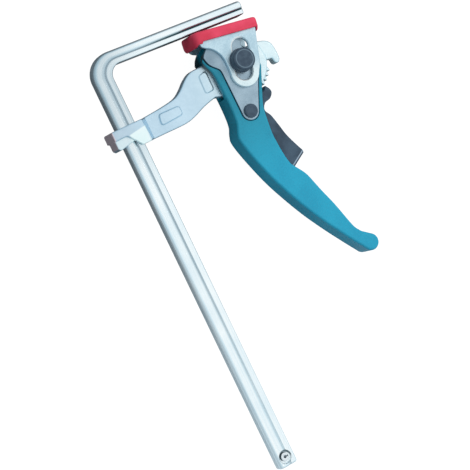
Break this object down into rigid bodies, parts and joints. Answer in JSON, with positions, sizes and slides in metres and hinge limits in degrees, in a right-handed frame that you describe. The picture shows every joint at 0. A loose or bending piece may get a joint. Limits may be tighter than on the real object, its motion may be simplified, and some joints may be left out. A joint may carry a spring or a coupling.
{
  "type": "guide rail clamp",
  "caption": "Quick-action bar clamp for a saw guide rail: bent steel bar, sliding jaw with a cam lever and ratchet trigger, and a swivelling shoe with a soft pad.",
  "frame": {"origin": "centre of the flat end face at the bar's free end", "axes": "+Y along the bar towards the fixed jaw, +X towards the side where the jaws and lever are, +Z out of the side with the pivot screw's head; z = 0 is the clamp's middle plane"},
  "size_m": [0.1248, 0.2645, 0.0359],
  "materials": {
    "bar": "bright zinc plate, drawn",
    "casting": "bright zinc plate over a forged skin",
    "sheet": "satin zinc plate",
    "steel": "satin",
    "black": "black oxide",
    "lever_paint": "satin teal powder coat",
    "pad": "soft moulded red",
    "bush": "oiled"
  },
  "bodies": {
    "rail": {"bar": "bar", "bar_stop_pin": "steel"},
    "slider": {"sliding_jaw": "casting", "pivot_bush": "bush"},
    "pivot": {"pivot_screw": "black", "pivot_washer": "steel", "pivot_nut": "steel"},
    "shoe": {"shoe": "sheet", "pad": "pad"},
    "lever": {"lever": "lever_paint", "cam_plate_front": "steel", "cam_plate_back": "steel", "lever_rivet": "black", "trigger_spring": "steel"},
    "trigger": {"trigger": "black"}
  },
  "joints": [
    {"name": "jaw_slide", "type": "slide", "parent": "rail", "child": "slider", "axis": [0, 1, 0], "range_m": [-0.201, 0]},
    {"name": "shoe_swivel", "type": "hinge", "parent": "slider", "child": "pivot", "pos_m": [0.08, 0.22685, 0], "axis": [0, 0, 1], "range_deg": [0, 8]},
    {"name": "shoe_lift", "type": "slide", "parent": "pivot", "child": "shoe", "axis": [0.309, 0.9511, 0], "range_m": [-0.0051, 0]},
    {"name": "lever_turn", "type": "hinge", "parent": "slider", "child": "lever", "pos_m": [0.08, 0.22685, 0], "axis": [0, 0, 1], "range_deg": [0, 34]},
    {"name": "trigger_turn", "type": "hinge", "parent": "lever", "child": "trigger", "pos_m": [0.0728, 0.19755, 0], "axis": [0, 0, -1], "range_deg": [0, 12], "stiffness_Nm_per_rad": 0.05, "springref_deg": -34.38}
  ],
  "couplings": [
    {"joint": "shoe_lift", "follows": "lever_turn", "m_per_rad": -0.0084}
  ]
}
